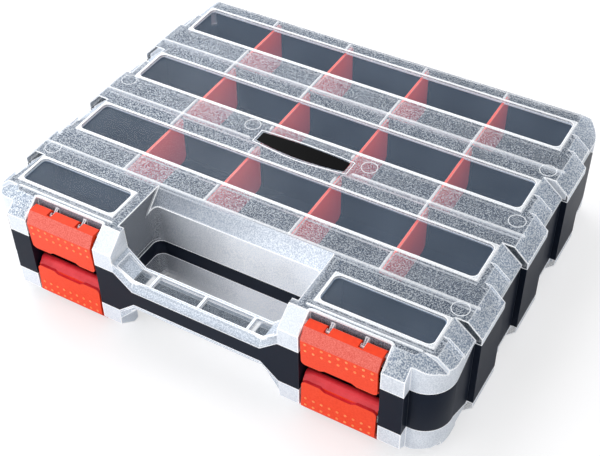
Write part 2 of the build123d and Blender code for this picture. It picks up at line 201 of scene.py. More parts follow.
def makeFrosted(name, look):
    finish = frostedFinish
    inputs = {"Roughness": finish["roughness"], "IOR": plasticIor}
    material, tree, shader, coordinates = newMaterial(name, inputs)
    noise = {"Vector": coordinates, "Scale": 1 / mm(finish["grain"]), "Detail": 1}
    speckle = addNode(tree, "ShaderNodeTexNoise", noise)
    noise = {"Vector": coordinates, "Scale": 1 / mm(finish["patch"]), "Detail": 1}
    patch = addNode(tree, "ShaderNodeTexNoise", noise)
    patch = addNode(tree, "ShaderNodeMapRange", (patch, *noiseStops, *finish["patchSwing"]))
    # painted light: more haze, so a lighter wall, towards the left end of the box
    ends = acrossBox(tree, coordinates, *finish["ends"], *finish["paintedLightAtEnds"])
    low, high = look["haze"] - look["swing"], look["haze"] + look["swing"]
    alpha = addNode(tree, "ShaderNodeMapRange", (speckle, *speckleStops, low, high))
    alpha = addNode(tree, "ShaderNodeMath", (alpha, patch), operation="MULTIPLY")
    alpha = addNode(tree, "ShaderNodeMath", (alpha, ends), operation="MULTIPLY")
    # painted shadow: the haze thins towards the left end of the finger well
    if "fade" in look:
        start, end, least = look["fade"]
        thinned = acrossBox(tree, coordinates, start, end, least, 1)
        alpha = addNode(tree, "ShaderNodeMath", (alpha, thinned), operation="MULTIPLY")
    edge = edgeMask(tree, finish["edge"])
    alpha = addNode(tree, "ShaderNodeMix", {0: edge, 2: alpha, 3: look["edge"]}, data_type="FLOAT")
    tree.links.new(alpha, shader.inputs["Alpha"])
    shade = addNode(tree, "ShaderNodeMapRange", (speckle, *speckleStops))
    dark, light = hexColour(look["dark"]), hexColour(look["light"])
    colour = addNode(tree, "ShaderNodeMix", {0: shade, 6: dark, 7: light}, **colourMix)
    # painted shadow: the colour darkens towards the left end of the finger well
    if "fade" in look:
        depth = acrossBox(tree, coordinates, start, end, finish["deepShade"], 0)
        deep = hexColour(finish["paintedShadowColour"])
        colour = addNode(tree, "ShaderNodeMix", {0: depth, 6: colour, 7: deep}, **colourMix)
    # the edges turn near white: partly the thick wall seen on edge, partly a painted highlight
    thickEdgeAndHighlightColour = hexColour(finish["thickEdgeAndHighlightColour"])
    colour = addNode(tree, "ShaderNodeMix", {0: edge, 6: colour, 7: thickEdgeAndHighlightColour}, **colourMix)
    tree.links.new(colour, shader.inputs["Base Color"])
    # painted light: the edges glow
    shader.inputs["Emission Color"].default_value = hexColour(finish["paintedGlowColour"])
    glow = addNode(tree, "ShaderNodeMapRange", (edge, 0, 1, 0, finish["paintedEdgeGlow"]))
    tree.links.new(glow, shader.inputs["Emission Strength"])
    bump = {"Height": speckle, "Distance": mm(finish["grainDepth"]), "Strength": finish["grainStrength"]}
    tree.links.new(addNode(tree, "ShaderNodeBump", bump), shader.inputs["Normal"])
    return material


paneLook = {
    "veil": (0.12, 0.15),
    "edge": 0.8,
    "flow": 45,                  # mm
    "colours": ("#94AFD2", "#AFC8E8"),
    "roughness": 0.12,
}


def makeClearPane():
    # the same plastic against a polished tool: nearly clear, with a cool veil of the studio in it
    look = paneLook
    inputs = {"Roughness": look["roughness"], "IOR": plasticIor}
    material, tree, shader, coordinates = newMaterial("polishedPolypropylene", inputs)
    flow = addNode(tree, "ShaderNodeTexNoise", {"Vector": coordinates, "Scale": 1 / mm(look["flow"])})
    veil = addNode(tree, "ShaderNodeMapRange", (flow, *noiseStops, *look["veil"]))
    # the edges are more opaque: partly the plastic seen on edge, partly a painted highlight
    edge = edgeMask(tree, frostedFinish["edge"])
    alpha = addNode(tree, "ShaderNodeMix", {0: edge, 2: veil, 3: look["edge"]}, data_type="FLOAT")
    tree.links.new(alpha, shader.inputs["Alpha"])
    dark, light = (hexColour(code) for code in look["colours"])
    colour = addNode(tree, "ShaderNodeMix", {0: flow, 6: dark, 7: light}, **colourMix)
    tree.links.new(colour, shader.inputs["Base Color"])
    return material


blackLook = {
    "colours": ("#0A101B", "#121A28"),
    "flow": 60,                  # mm
    "satin": 1.4,                # mm
    "satinDepth": 0.01,          # mm
    "satinStrength": 0.15,
    "roughness": (0.4, 0.48),
    "shine": 0.16,
    "shineTint": "#C4D4F8",
}


def makeBlackPlastic():
    # polypropylene copolymer coloured black in the mass, moulded with a light satin grain
    look = blackLook
    inputs = {"IOR": plasticIor, "Specular IOR Level": look["shine"]}
    inputs["Specular Tint"] = hexColour(look["shineTint"])
    material, tree, shader, coordinates = newMaterial("blackPolypropylene", inputs)
    noise = {"Vector": coordinates, "Scale": 1 / mm(look["satin"]), "Detail": 1}
    satin = addNode(tree, "ShaderNodeTexNoise", noise)
    flow = addNode(tree, "ShaderNodeTexNoise", {"Vector": coordinates, "Scale": 1 / mm(look["flow"])})
    dark, light = (hexColour(code) for code in look["colours"])
    colour = addNode(tree, "ShaderNodeMix", {0: flow, 6: dark, 7: light}, **colourMix)
    tree.links.new(colour, shader.inputs["Base Color"])
    roughness = addNode(tree, "ShaderNodeMapRange", (flow, *noiseStops, *look["roughness"]))
    tree.links.new(roughness, shader.inputs["Roughness"])
    bump = {"Height": satin, "Distance": mm(look["satinDepth"]), "Strength": look["satinStrength"]}
    tree.links.new(addNode(tree, "ShaderNodeBump", bump), shader.inputs["Normal"])
    return material


# polypropylene coloured in the mass, against a tool with a fine sand grain: its two colours, the size and
# depth of the grain in mm and its roughness; the ones for edges and dots are painted highlights, and one is a
# painted shade
colouredLooks = {
    "paintedHighlightBlackEdge": ("#2C323B", "#434B57", 2, 0.02, 0.36),
    "orangeRedPolypropylene": ("#E03200", "#EA3C08", 3, 0.01, 0.5),
    "sparkErodedOrangeRed": ("#F0401E", "#F94E2A", 1.2, 0.03, 0.45),
    "sandedOrangeRed": ("#DC5044", "#F28072", 0.8, 0.03, 0.5),
    "paintedShadeOrangeRed": ("#E0303A", "#EC404A", 6, 0.004, 0.3),
    "orangeRedEdgeHighlight": ("#FF7A50", "#FF9470", 3, 0.01, 0.36),
    "paintedHighlightOrangeRedDot": ("#FF7E44", "#FFA468", 2, 0.01, 0.3),
    "coralEdgeHighlight": ("#F79384", "#F9A699", 2.5, 0.01, 0.4),
}
colouredShine = 0.22
colouredBump = 0.8


def makeColouredPlastic(name):
    deep, bright, grainSize, grainDepth, roughness = colouredLooks[name]
    inputs = {"Roughness": roughness, "IOR": plasticIor, "Specular IOR Level": colouredShine}
    material, tree, shader, coordinates = newMaterial(name, inputs)
    noise = {"Vector": coordinates, "Scale": 1 / mm(grainSize), "Detail": 3, "Roughness": 0.6}
    sand = addNode(tree, "ShaderNodeTexNoise", noise)
    shade = addNode(tree, "ShaderNodeMapRange", (sand, *noiseStops))
    colours = {6: hexColour(deep), 7: hexColour(bright)}
    colour = addNode(tree, "ShaderNodeMix", {0: shade, **colours}, **colourMix)
    tree.links.new(colour, shader.inputs["Base Color"])
    bump = {"Height": sand, "Distance": mm(grainDepth), "Strength": colouredBump}
    tree.links.new(addNode(tree, "ShaderNodeBump", bump), shader.inputs["Normal"])
    return material


middleHeight = 40                # mm, height of the mid plane, about which the box is the same on both sides
dividerLook = {
    "foot": "#C8444A",
    "top": ("#FF4E33", "#FF6A50"),
    "between": (4, 34),          # mm from the mid plane
    "flow": 9,                   # mm
    "flowDepth": 0.02,           # mm
    "flowStrength": 0.4,
    "glow": 0.12,
    "paintedGlowColour": "#FF4B48",
    "roughness": 0.4,
}


def makeDividerPlastic():
    # coral polypropylene sheet; a painted glow stands in for the light that comes through the thin sheet;
    # little light reaches its foot, so a painted shade deepens its colour towards the floor
    look = dividerLook
    inputs = {"Roughness": look["roughness"], "IOR": plasticIor}
    material, tree, shader, coordinates = newMaterial("coralPolypropylene", inputs)
    height = addNode(tree, "ShaderNodeSeparateXYZ", (coordinates,), output="Z")
    depth = addNode(tree, "ShaderNodeMath", (height, mm(middleHeight)), operation="SUBTRACT")
    depth = addNode(tree, "ShaderNodeMath", (depth,), operation="ABSOLUTE")
    rise = addNode(tree, "ShaderNodeMapRange", (depth, *mm(*look["between"])))
    flow = addNode(tree, "ShaderNodeTexNoise", {"Vector": coordinates, "Scale": 1 / mm(look["flow"])})
    dark, light = (hexColour(code) for code in look["top"])
    top = addNode(tree, "ShaderNodeMix", {0: flow, 6: dark, 7: light}, **colourMix)
    # painted shade: darker towards the foot, lighter towards the top
    colour = addNode(tree, "ShaderNodeMix", {0: rise, 6: hexColour(look["foot"]), 7: top}, **colourMix)
    tree.links.new(colour, shader.inputs["Base Color"])
    # painted light: the sheet glows a little
    shader.inputs["Emission Color"].default_value = hexColour(look["paintedGlowColour"])
    shader.inputs["Emission Strength"].default_value = look["glow"]
    bump = {"Height": flow, "Distance": mm(look["flowDepth"]), "Strength": look["flowStrength"]}
    tree.links.new(addNode(tree, "ShaderNodeBump", bump), shader.inputs["Normal"])
    return material


badgeLook = {"colours": ("#010102", "#050507"), "flow": 12, "ior": 1.53, "roughness": 0.3, "shine": 0.03}


def makeGlossBlack():
    # black lacquered ABS label plate, bare
    look = badgeLook
    inputs = {"Roughness": look["roughness"], "IOR": look["ior"], "Specular IOR Level": look["shine"]}
    material, tree, shader, coordinates = newMaterial("lacqueredBlackAbs", inputs)
    flow = addNode(tree, "ShaderNodeTexNoise", {"Vector": coordinates, "Scale": 1 / mm(look["flow"])})
    dark, light = (hexColour(code) for code in look["colours"])
    colour = addNode(tree, "ShaderNodeMix", {0: flow, 6: dark, 7: light}, **colourMix)
    tree.links.new(colour, shader.inputs["Base Color"])
    return material


steelLook = {
    "colours": ("#A9ADB3", "#C9CDD2"),
    "line": 0.4,                 # mm across
    "stretch": (0.05, 1, 1),     # the lines run along the pin
    "roughness": (0.25, 0.4),
}


def makeSteel():
    # zinc plated steel wire, drawn: fine lines along the pin
    look = steelLook
    material, tree, shader, coordinates = newMaterial("zincPlatedSteel", {"Metallic": 1.0})
    stretched = addNode(tree, "ShaderNodeMapping", {"Vector": coordinates, "Scale": look["stretch"]})
    lines = addNode(tree, "ShaderNodeTexNoise", {"Vector": stretched, "Scale": 1 / mm(look["line"])})
    dark, light = (hexColour(code) for code in look["colours"])
    colour = addNode(tree, "ShaderNodeMix", {0: lines, 6: dark, 7: light}, **colourMix)
    tree.links.new(colour, shader.inputs["Base Color"])
    roughness = addNode(tree, "ShaderNodeMapRange", (lines, *noiseStops, *look["roughness"]))
    tree.links.new(roughness, shader.inputs["Roughness"])
    return material


lidMaterials = [makeFrosted(f"{zone}FrostedPolypropylene", look) for zone, look in frostedLooks.items()]
lidMaterials.append(makeClearPane())
frostedRim = lidMaterials[list(frostedLooks).index("rim")]
frostedRib = lidMaterials[list(frostedLooks).index("rib")]
blackPlastic = makeBlackPlastic()
blackEdgeHighlight = makeColouredPlastic("paintedHighlightBlackEdge")
latchStrip = makeColouredPlastic("orangeRedPolypropylene")
latchPlate = makeColouredPlastic("sparkErodedOrangeRed")
latchSlope = makeColouredPlastic("sandedOrangeRed")
latchBeadShade = makeColouredPlastic("paintedShadeOrangeRed")
latchEdgeHighlight = makeColouredPlastic("orangeRedEdgeHighlight")
latchDotHighlight = makeColouredPlastic("paintedHighlightOrangeRedDot")
dividerPlastic = makeDividerPlastic()
dividerEdgeHighlight = makeColouredPlastic("coralEdgeHighlight")
glossBlack = makeGlossBlack()
steel = makeSteel()
print("materials made")


# Softened copies of the moulded parts

nearly = 0.05                    # mm, how close a vertex is to a place that picks it
anywhere = (-1000, 1000)         # mm, past the box on both sides
softening = {
    "weld": 1e-6,                # metres, between vertices that become one
    "flat": radians(1),          # faces that differ by less are one face
    "sharp": radians(30),        # edges sharper than this are rounded
    "segments": 2,
}


def sidePlace(point, flip):
    # place in mm as it would be on the right half of the upper side
    across, up = flip
    return point.x * 1000 * across, point.y * 1000, middleHeight + (point.z * 1000 - middleHeight) * up


def sidePoint(x, y, z, flip=(1, 1)):
    # the way back: from the right half of the upper side to any of the four, in metres
    across, up = flip
    return Vector(mm(x * across, y, middleHeight + (z - middleHeight) * up))


def pickVertices(piece, test, flip=(1, 1)):
    # leaves the piece in edit mode with the vertices selected whose place passes the test
    selectOnly(piece)
    bpy.ops.object.mode_set(mode="EDIT")
    bpy.ops.mesh.select_mode(type="VERT")
    bpy.ops.mesh.select_all(action="DESELECT")
    bpy.ops.object.mode_set(mode="OBJECT")
    for vertex in piece.data.vertices:
        vertex.select = test(*sidePlace(vertex.co, flip))
    bpy.ops.object.mode_set(mode="EDIT")


def inside(*spans):
    # a test for places between the lowest and the highest x, y and z, in mm
    return lambda *place: all(low < value < high for value, (low, high) in zip(place, spans))


def around(value, reach=nearly):
    return value - reach, value + reach


def below(value):
    return anywhere[0], value


def above(value):
    return value, anywhere[1]


def moveInside(piece, flip, shift, *spans):
    # moves all vertices between those places by shift, in mm
    pickVertices(piece, inside(*spans), flip)
    across, up = flip
    bpy.ops.transform.translate(value=mm(shift[0] * across, shift[1], shift[2] * up))
    bpy.ops.object.mode_set(mode="OBJECT")


def cutAcross(piece, flip, y):
    # a new edge loop all round the piece at this depth
    pickVertices(piece, lambda *place: True)
    bpy.ops.mesh.bisect(plane_co=sidePoint(0, y, 0, flip), plane_no=(0, 1, 0))
    bpy.ops.object.mode_set(mode="OBJECT")


def softCopy(nodeName, newName, body, width, materials, shape=None):
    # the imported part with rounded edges; the faces of the rounding take the second material
    selectOnly(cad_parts[nodeName])
    bpy.ops.object.duplicate()
    piece = bpy.context.active_object
    for key in [key for key in piece.keys() if key.startswith("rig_")]:
        del piece[key]
    piece.name = newName
    piece.data.name = newName
    piece.parent = None
    piece.data.materials.clear()
    for material in materials:
        piece.data.materials.append(material)
    applyModifier(piece, "WELD", merge_threshold=softening["weld"])
    applyModifier(piece, "DECIMATE", decimate_type="DISSOLVE", angle_limit=softening["flat"])
    if shape:
        shape(piece)
    for face in piece.data.polygons:
        face.material_index = 0
    bevel = {"width": mm(width), "segments": softening["segments"], "material": 1}
    angle = {"limit_method": "ANGLE", "angle_limit": softening["sharp"]}
    applyModifier(piece, "BEVEL", use_clamp_overlap=True, **bevel, **angle)
    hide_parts(nodeName)
    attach(piece, body)
    return piece


# Lids

carriers = {
    "places": (83.72, 103.88),   # mm from the centre line, as packed
    "half": 1.1,                 # half of their thickness, with some play
    "shifts": (1.6, 2.6),        # towards the outer end, as the photo has them
    "across": (82, 110),         # where they stand: along the front, in depth and in height
    "along": (-124.1, -116.0),
    "up": (70, 77.5),
    "lower": 0.9,                # their tops go down by this
    "tops": (76.6, 77.0),
    "frontLower": 4.0,           # and the front ends of the tops by this
    "frontAlong": (-124.1, -123.8),
    "frontTops": (75.5, 76.5),
}
windowForm = {
    "outer": 140.7,              # mm, ends of the windows
    "rows": (-52.6, 13.4, 79.4),    # fronts of the three long ones
    "depth": 29.7,
    "front": (70.8, 140.7, -110.3, -88.0),    # ends, front and rear of the short one on the right
    "rim": 1.5,                  # width of a rim
    "corner": 4.0,               # radius of its corners inside
    "cornerSegments": 5,
    "rounding": 0.5,             # of its upper edges
    "roundingSegments": 4,
    "sharp": radians(50),
    "tops": (79, 80.1),
    "highest": 79.95,            # the rims are the only part over this
}


def windowSpans():
    outer = windowForm["outer"]
    spans = [(-outer, outer, y, y + windowForm["depth"]) for y in windowForm["rows"]]
    inner, outer, front, rear = windowForm["front"]
    return spans + [(inner, outer, front, rear), (-outer, -inner, front, rear)]


def shapeLid(piece):
    # the carriers of the latches stand a little further out, and the window rims have round corners
    up = 1 if "top" in piece.name else -1
    form = carriers
    for across in (1, -1):
        flip = (across, up)
        for place, shift in zip(form["places"], form["shifts"]):
            moveInside(piece, flip, (shift, 0, 0), around(place, form["half"]), form["along"], form["up"])
        moveInside(piece, flip, (0, 0, -form["lower"]), form["across"], form["along"], form["tops"])
    shapeGrip(piece, (1, up))
    for across in (1, -1):
        moveInside(piece, (across, up), (0, 0, -form["frontLower"]),
                   form["across"], form["frontAlong"], form["frontTops"])
    rim = windowForm["rim"]
    corners = []
    for x0, x1, y0, y1 in windowSpans():
        corners += [(x, y) for x in (x0 - rim, x1 + rim) for y in (y0 - rim, y1 + rim)]
    low, high = windowForm["tops"]

    def atCorner(x, y, z):
        return low < z < high and any(abs(x - a) + abs(y - b) < nearly for a, b in corners)

    pickVertices(piece, atCorner, (1, up))
    bpy.ops.mesh.bevel(offset=mm(rim + windowForm["corner"]), segments=windowForm["cornerSegments"],
                       affect="EDGES", clamp_overlap=True)
    roundRims(piece, up)


gripForm = {
    "half": (45.0, 57.0),        # mm, ends of the straight part and of the whole cover
    "front": -132.5,
    "cutReach": 71,              # only its front is cut, between the pillars and over the bar
    "over": 45,
    "foot": 45.5,                # parting line with the black bar
    "lip": 2.1,                  # height of the upright edge over it
    "rise": 0.9,                 # of the parting line towards the pillars
    "straight": (-45.5, 45.5),
    "lower": 2.3,                # the cover is this much lower than packed
    "coverRear": -115.9,
    "cover": (49.9, 54.6),
    "back": 2.7,                 # its front leans back by this
    "edge": (52, 52.4),
    "inner": 2.3,                # and the trough's front wall inside it by this
    "innerFront": (-130.6, -130.4),
    "innerEdge": (49.6, 52.4),
}


def shapeGrip(piece, flip):
    # the clear cover of the handle: an upright lip, then a front that leans back to a lower trough
    form = gripForm
    near, end = form["half"]
    lip = form["foot"] + form["lip"]
    face = below(form["front"] + nearly)
    cuts = [((x, 0, 0), (1, 0, 0)) for x in (-end, -near, near, end)]
    cuts.append(((0, 0, lip), (0, 0, 1)))
    cuts += [((side * near, 0, lip), (-side * form["rise"], 0, 1)) for side in (1, -1)]
    for (x, y, z), (a, b, c) in cuts:
        pickVertices(piece, inside(around(0, form["cutReach"]), face, above(form["over"])), flip)
        bpy.ops.mesh.bisect(plane_co=sidePoint(x, y, z, flip), plane_no=(a, b, c * flip[1]))
        bpy.ops.object.mode_set(mode="OBJECT")
    moveInside(piece, flip, (0, 0, -form["lower"]), form["straight"], below(form["coverRear"]), form["cover"])
    moveInside(piece, flip, (0, form["back"], 0), form["straight"], face, form["edge"])
    moveInside(piece, flip, (0, form["inner"], 0), form["straight"], form["innerFront"], form["innerEdge"])


def roundRims(piece, up):
    # the upper edges of the window rims, which are the sharp edges at the full height of the box
    bpy.ops.mesh.select_mode(type="EDGE")
    bpy.ops.mesh.select_all(action="DESELECT")
    bpy.ops.mesh.edges_select_sharp(sharpness=windowForm["sharp"])
    bpy.ops.object.mode_set(mode="OBJECT")
    points = piece.data.vertices
    for edge in piece.data.edges:
        high = all(sidePlace(points[index].co, (1, up))[2] > windowForm["highest"] for index in edge.vertices)
        edge.select = edge.select and high
    bpy.ops.object.mode_set(mode="EDIT")
    bpy.ops.mesh.bevel(offset=mm(windowForm["rounding"]), segments=windowForm["roundingSegments"],
                       affect="EDGES", clamp_overlap=True)
    bpy.ops.object.mode_set(mode="OBJECT")


lidZones = {
    "paneTop": (37.9, 38.1),     # mm, height of the panes over the mid plane
    "plateau": 39.1,
    "rim": 39.8,
    "wallTop": 38.2,
    "wellX": 64.5,               # the finger well and the handle
    "wellY": -72.0,
    "shelf": 28.0,
    "shelfFront": -84.0,
    "gripY": -116.5,
    "gripTop": 24.0,
    "innerPillar": 70.9,
    "troughTop": 11.0,
    "pocketX": (70, 122.5),      # back wall of a latch pocket
    "pocketY": (-119.2, -117.8),
    "pocketTop": 39.2,
    "slitX": 142,                # slits between the pads of a long side
    "slitY": -100,
    "slitFoot": 28,
}
lidTilts = {
    # how much of a face's normal points up or sideways at the limits between the finishes
    "level": 0.98,
    "rim": 0.9,
    "shelf": 0.6,
    "slope": 0.3,
    "under": -0.3,
    "upright": 0.8,
    "across": 0.9,
}


def lidZone(x, y, height, normal, rise):
    # which finish a face of a lid has, from its middle and its normal
    place, tilt = lidZones, lidTilts
    nearWell = abs(x) < place["wellX"] and y < place["wellY"]
    inPocket = inside(place["pocketX"], place["pocketY"], below(place["pocketTop"]))
    inSlit = abs(x) > place["slitX"] and y > place["slitY"] and height > place["slitFoot"]
    if place["paneTop"][0] < height < place["paneTop"][1] and rise > tilt["level"]:
        return "pane"
    if height > place["rim"] and rise > tilt["rim"]:
        return "rim"
    if height > place["plateau"] and rise > tilt["level"]:
        return "roof"
    if rise < tilt["under"]:
        return "inside"
    if nearWell and rise > tilt["shelf"] and height > place["shelf"]:
        return "shelf"
    if nearWell and y < place["gripY"] and height < place["gripTop"]:
        return "trough" if rise > tilt["shelf"] and height < place["troughTop"] else "grip"
    if nearWell and abs(normal.x) > tilt["upright"] and y > place["shelfFront"] and height > place["shelf"]:
        return "fin"
    if nearWell:
        return "well" if y > place["gripY"] else "wall"
    if normal.y < -tilt["upright"] and inPocket(abs(x), y, height):
        return "pocket"
    if rise > tilt["slope"]:
        return "wall" if abs(x) < place["innerPillar"] and y < place["gripY"] else "slope"
    if height > place["wallTop"]:
        return "slope"
    if normal.y < -tilt["across"] and inSlit:
        return "slit"
    return "inside" if normal.x * x + normal.y * y < 0 else "wall"


# width of the rounding of the edges, in mm
edgeWidths = {"lid": 0.3, "tray": 0.4, "divider": 0.3, "badge": 0.2, "latch": 0.35}
lidSides = {"top_lid": 1, "bottom_lid": -1}
lidSmooth = radians(14)          # curved walls look round where their faces differ by less
zoneNames = list(frostedLooks) + ["pane"]
for lidBody, up in lidSides.items():
    lidPiece = softCopy(lidBody, f"{lidBody}_shell", lidBody, edgeWidths["lid"], lidMaterials,
                        shapeLid)
    selectOnly(lidPiece)
    bpy.ops.object.shade_smooth_by_angle(angle=lidSmooth)
    for face in lidPiece.data.polygons:
        x, y, z = face.center * 1000
        zone = lidZone(x, y, (z - middleHeight) * up, face.normal, face.normal.z * up)
        face.material_index = zoneNames.index(zone)
print("lids softened")


# Tray, dividers, pins and badge

# the rounded edges of the tray take a painted highlight
softCopy("tray", "tray_body", "tray", edgeWidths["tray"], [blackPlastic, blackEdgeHighlight])

binCorner = {
    "middle": (138.0, 109.0),    # mm, middle of the curve
    "radii": (13.2, 15.2),
    "foot": 41.0,
    "top": 75.5,
    "turn": (15, 60),            # degrees, where it starts and how far it turns
    "steps": 8,
    "slopes": ((142.5, 40.5, 1, 0), (120.0, 45.0, 0, 1)),   # start, steepness and x and y of the lid's slopes
    "underLid": 2.8,             # the wall ends this far under the lid's outside
    "plateau": 79.4,
}


def makeBinCorner(flip):
    # curved wall that closes the rear outer corner of the last row, under the slopes of the lid
    inner, outer = binCorner["radii"]
    foot, top = binCorner["foot"], binCorner["top"]
    middleX, middleY = binCorner["middle"]
    start, turn = binCorner["turn"]
    bpy.ops.object.select_all(action="DESELECT")
    bpy.ops.mesh.primitive_plane_add(size=1, location=(0, 0, 0), rotation=(pi / 2, 0, 0))
    wall = bpy.context.active_object
    wall.scale = mm(outer - inner, top - foot, 1)
    wall.location = mm((inner + outer) / 2, 0, (foot + top) / 2)
    bpy.ops.object.transform_apply(location=True, rotation=True, scale=True)
    wall.rotation_euler = (0, 0, radians(start))
    wall.location = mm(middleX, middleY, 0)
    bpy.ops.object.transform_apply(location=True, rotation=True, scale=True)
    bpy.ops.object.mode_set(mode="EDIT")
    bpy.ops.mesh.select_all(action="SELECT")
    bpy.ops.mesh.spin(steps=binCorner["steps"], angle=radians(turn), center=mm(middleX, middleY, 0),
                      axis=(0, 0, 1))
    for edge, steep, towardX, towardY in binCorner["slopes"]:
        out, up = sin(radians(steep)), cos(radians(steep))
        lean = Vector((towardX * out, towardY * out, up))
        place = Vector(mm(edge * towardX, edge * towardY, binCorner["plateau"]))
        place -= lean * mm(binCorner["underLid"])
        bpy.ops.mesh.select_all(action="SELECT")
        bpy.ops.mesh.bisect(plane_co=place, plane_no=lean, clear_outer=True, use_fill=True)
    bpy.ops.mesh.select_all(action="SELECT")
    bpy.ops.mesh.remove_doubles(threshold=softening["weld"])
    bpy.ops.object.mode_set(mode="OBJECT")
    wall.scale = (flip[0], 1, flip[1])
    wall.location = mm(0, 0, 0 if flip[1] > 0 else 2 * middleHeight)
    bpy.ops.object.transform_apply(location=True, rotation=True, scale=True)
    return wall


def joinPieces(pieces, name, body, materials):
    # several shapes made one piece, with its normals outwards
    bpy.ops.object.select_all(action="DESELECT")
    for piece in pieces:
        piece.select_set(True)
    bpy.context.view_layer.objects.active = pieces[0]
    bpy.ops.object.join()
    joined = bpy.context.active_object
    joined.name = name
    joined.data.name = name
    bpy.ops.object.mode_set(mode="EDIT")
    bpy.ops.mesh.select_all(action="SELECT")
    bpy.ops.mesh.normals_make_consistent(inside=False)
    bpy.ops.object.mode_set(mode="OBJECT")
    joined.data.materials.clear()
    for material in materials:
        joined.data.materials.append(material)
    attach(joined, body)
    return joined


sides = [(across, up) for up in (1, -1) for across in (1, -1)]
joinPieces([makeBinCorner(flip) for flip in sides], "tray_bin_corners", "tray", [blackPlastic])
# painted highlight on the rounded edges of the dividers
dividerMaterials = [dividerPlastic, dividerEdgeHighlight]
for name in [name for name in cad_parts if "_divider_" in name]:
    softCopy(name, f"{name}_sheet", "tray", edgeWidths["divider"], dividerMaterials)
softCopy("badge_plate", "badge_face", "top_lid", edgeWidths["badge"], [glossBlack, glossBlack])
for name in [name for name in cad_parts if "_pin_" in name]:
    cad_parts[name].data.materials.clear()
    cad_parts[name].data.materials.append(steel)
print("tray, dividers, badge and pins finished")


# Latches

latchForm = {
    "crease": -128.3,            # mm, front edge of the smooth strip
    "stripTop": 76.08,           # height of the strip
    "stripRear": -125.0,
    "stripOver": 73.4,
    "plate": -129.5,             # the plate and the ridge are before this
    "ridgeDrop": 2.4,            # the ridge stands this much lower than packed
    "ridge": (65, 71.5),
    "faceBack": 0.25,            # and the face this much further back, which leaves room for the dots
    "face": -131.6,
    "endRise": 1.2,              # the plate ends this much higher
    "end": 49.9,
    "notchFill": 1.3,            # the thumb notch is this much shallower
    "notch": (86.0, 105.5),
    "notchTop": (50.6, 51.0),
    "hookRise": 1.9,             # the hook stands this much higher
    "hookFront": -130.1,
    "hook": 52.5,
    "slotHalf": 1.6,             # half of a slot's width, as the photo has it
    "slotWas": 2.5,              # and as packed
    "slotFront": 0.6,            # the slots end this much sooner at the front
    "slotEnd": (-128.1, -127.9),
    "slotRear": -127.5,
    "slotOver": 66,
}
latchFlips = {"right": 1, "left": -1, "top": 1, "bottom": -1}


def latchFlip(name):
    up, side = name.split("_")[0], name.split("_")[2]
    return latchFlips[side], latchFlips[up]


def flattenWhere(piece, flip, height, test):
    # sets all that passes the test to one height
    pickVertices(piece, test, flip)
    bpy.ops.transform.resize(value=(1, 1, 0), center_override=sidePoint(0, 0, height, flip))
    bpy.ops.object.mode_set(mode="OBJECT")


def shapeLatch(piece):
    flip = latchFlip(piece.name)
    form = latchForm
    cutAcross(piece, flip, form["crease"])
    strip = inside(anywhere, (form["crease"] - nearly, form["stripRear"]), above(form["stripOver"]))
    flattenWhere(piece, flip, form["stripTop"], strip)
    plate, end = below(form["plate"]), below(form["end"])
    moveInside(piece, flip, (0, 0, -form["ridgeDrop"]), anywhere, plate, form["ridge"])
    moveInside(piece, flip, (0, form["faceBack"], 0), anywhere, below(form["face"]), anywhere)
    moveInside(piece, flip, (0, 0, form["endRise"]), anywhere, plate, end)
    moveInside(piece, flip, (0, 0, -form["notchFill"]), form["notch"], plate, form["notchTop"])
    moveInside(piece, flip, (0, 0, form["hookRise"]), anywhere, above(form["hookFront"]), below(form["hook"]))
    wide, inward = form["slotWas"], form["slotWas"] - form["slotHalf"]
    rear, over = above(form["slotRear"]), above(form["slotOver"])
    for place, shift in zip(carriers["places"], carriers["shifts"]):
        slot = around(place, wide + 2 * nearly)
        moveInside(piece, flip, (0, form["slotFront"], 0), slot, form["slotEnd"], over)
        moveInside(piece, flip, (shift + inward, 0, 0), around(place - wide), rear, over)
        moveInside(piece, flip, (shift - inward, 0, 0), around(place + wide), rear, over)


# where each finish of a latch ends, in mm, and how much the normals of its faces point up or forwards; the
# bead's is a painted shade
latchZones = {"strip": 75.5, "slope": 66, "plate": -130, "bead": 52}
latchTilts = {"strip": 0.95, "slope": 0.3, "plate": -0.8}


def latchZone(y, z, back, rise):
    # which of the latch's finishes a face has, from its middle and its normal
    if rise > latchTilts["strip"] and z > latchZones["strip"]:
        return "strip"
    if rise > latchTilts["slope"] and z > latchZones["slope"]:
        return "slope"
    if back < latchTilts["plate"] and y < latchZones["plate"]:
        return "plate"
    return "bead" if z < latchZones["bead"] else "strip"


latchMaterials = {
    "strip": latchStrip,
    # painted highlight on the rounded edges
    "edge": latchEdgeHighlight,
    "plate": latchPlate,
    "slope": latchSlope,
    # painted shade: a darker copy of the latch's red for the bead, which lies in shade
    "bead": latchBeadShade,
}
latchNames = [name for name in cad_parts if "_latch_" in name]
for name in latchNames:
    lever = softCopy(name, f"{name}_lever", name, edgeWidths["latch"],
                     latchMaterials.values(), shapeLatch)
    flip = latchFlip(name)
    for face in lever.data.polygons:
        if face.material_index != 1:
            x, y, z = sidePlace(face.center, flip)
            zone = latchZone(y, z, face.normal.y, face.normal.z * flip[1])
            face.material_index = list(latchMaterials).index(zone)

dots = {
    "rows": (66.4, 61.0),        # mm, heights of the two rows
    "first": 75.3,
    "pitch": 5.19,
    "count": 9,
    "radius": 0.95,
    "segments": (12, 6),         # round it and from pole to pole
    "rise": 0.32,
    "face": (-132.93, 0.053),    # the face of the plate at the upper row, and how it leans back per mm
}


